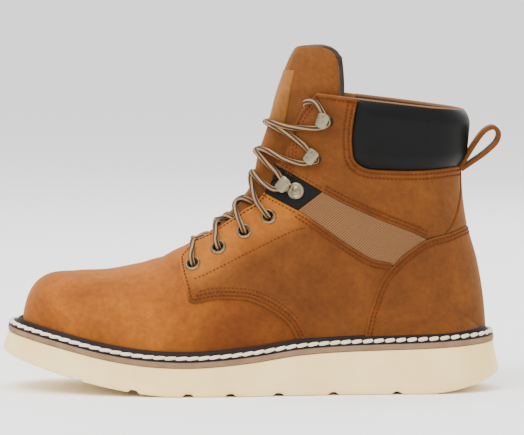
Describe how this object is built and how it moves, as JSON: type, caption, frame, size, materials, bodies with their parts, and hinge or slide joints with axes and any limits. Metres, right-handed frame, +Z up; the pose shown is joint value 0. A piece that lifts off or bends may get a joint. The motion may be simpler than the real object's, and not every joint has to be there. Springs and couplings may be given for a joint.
{
  "type": "wedge sole work boot",
  "caption": "Lace-up ankle work boot for the left foot, with a nubuck upper, padded collar, heel pull loop, stitched welt and flat wedge sole.",
  "frame": {"origin": "on the plane that the boot stands on, halfway along the sole, at the middle of the heel's width", "axes": "+X from the toe to the heel, +Y from the outer side of the foot to the inner side, +Z up"},
  "size_m": [0.3128, 0.1142, 0.217],
  "materials": {
    "cream_rubber": "matte cream foam rubber",
    "taupe_midsole": "matte grey brown rubber board",
    "brown_welt": "dark brown waxed leather strip",
    "tan_nubuck": "warm tan oiled nubuck",
    "black_leather": "smooth black leather with a soft sheen",
    "tan_webbing": "ribbed woven tape",
    "antique_nickel": "worn antique nickel",
    "striped_lace": "round woven cord with dark stripes",
    "footbed_cloth": "dark woven lining cloth"
  },
  "bodies": {
    "root": {"backstay": "tan_nubuck", "collar": "black_leather", "eyelet_lateral_1": "antique_nickel", "eyelet_lateral_2": "antique_nickel", "eyelet_lateral_3": "antique_nickel", "eyelet_lateral_4": "antique_nickel", "eyelet_medial_1": "antique_nickel", "eyelet_medial_2": "antique_nickel", "eyelet_medial_3": "antique_nickel", "eyelet_medial_4": "antique_nickel", "heel_counter": "tan_nubuck", "hook_lateral_1": "antique_nickel", "hook_lateral_2": "antique_nickel", "hook_lateral_3": "antique_nickel", "hook_medial_1": "antique_nickel", "hook_medial_2": "antique_nickel", "hook_medial_3": "antique_nickel", "hook_patch_lateral": "black_leather", "hook_patch_medial": "black_leather", "insole": "footbed_cloth", "lace_1": "striped_lace", "lace_2": "striped_lace", "lace_3": "striped_lace", "lace_4": "striped_lace", "lace_5": "striped_lace", "lace_6": "striped_lace", "midsole": "taupe_midsole", "outsole": "cream_rubber", "pull_loop": "tan_nubuck", "quarter_lateral": "tan_nubuck", "quarter_medial": "tan_nubuck", "rivet_lateral": "antique_nickel", "rivet_medial": "antique_nickel", "shaft_panel_lateral": "tan_nubuck", "shaft_panel_medial": "tan_nubuck", "strap_lateral": "tan_webbing", "strap_medial": "tan_webbing", "tongue": "tan_nubuck", "upper": "tan_nubuck", "welt": "brown_welt"}
  },
  "joints": []
}
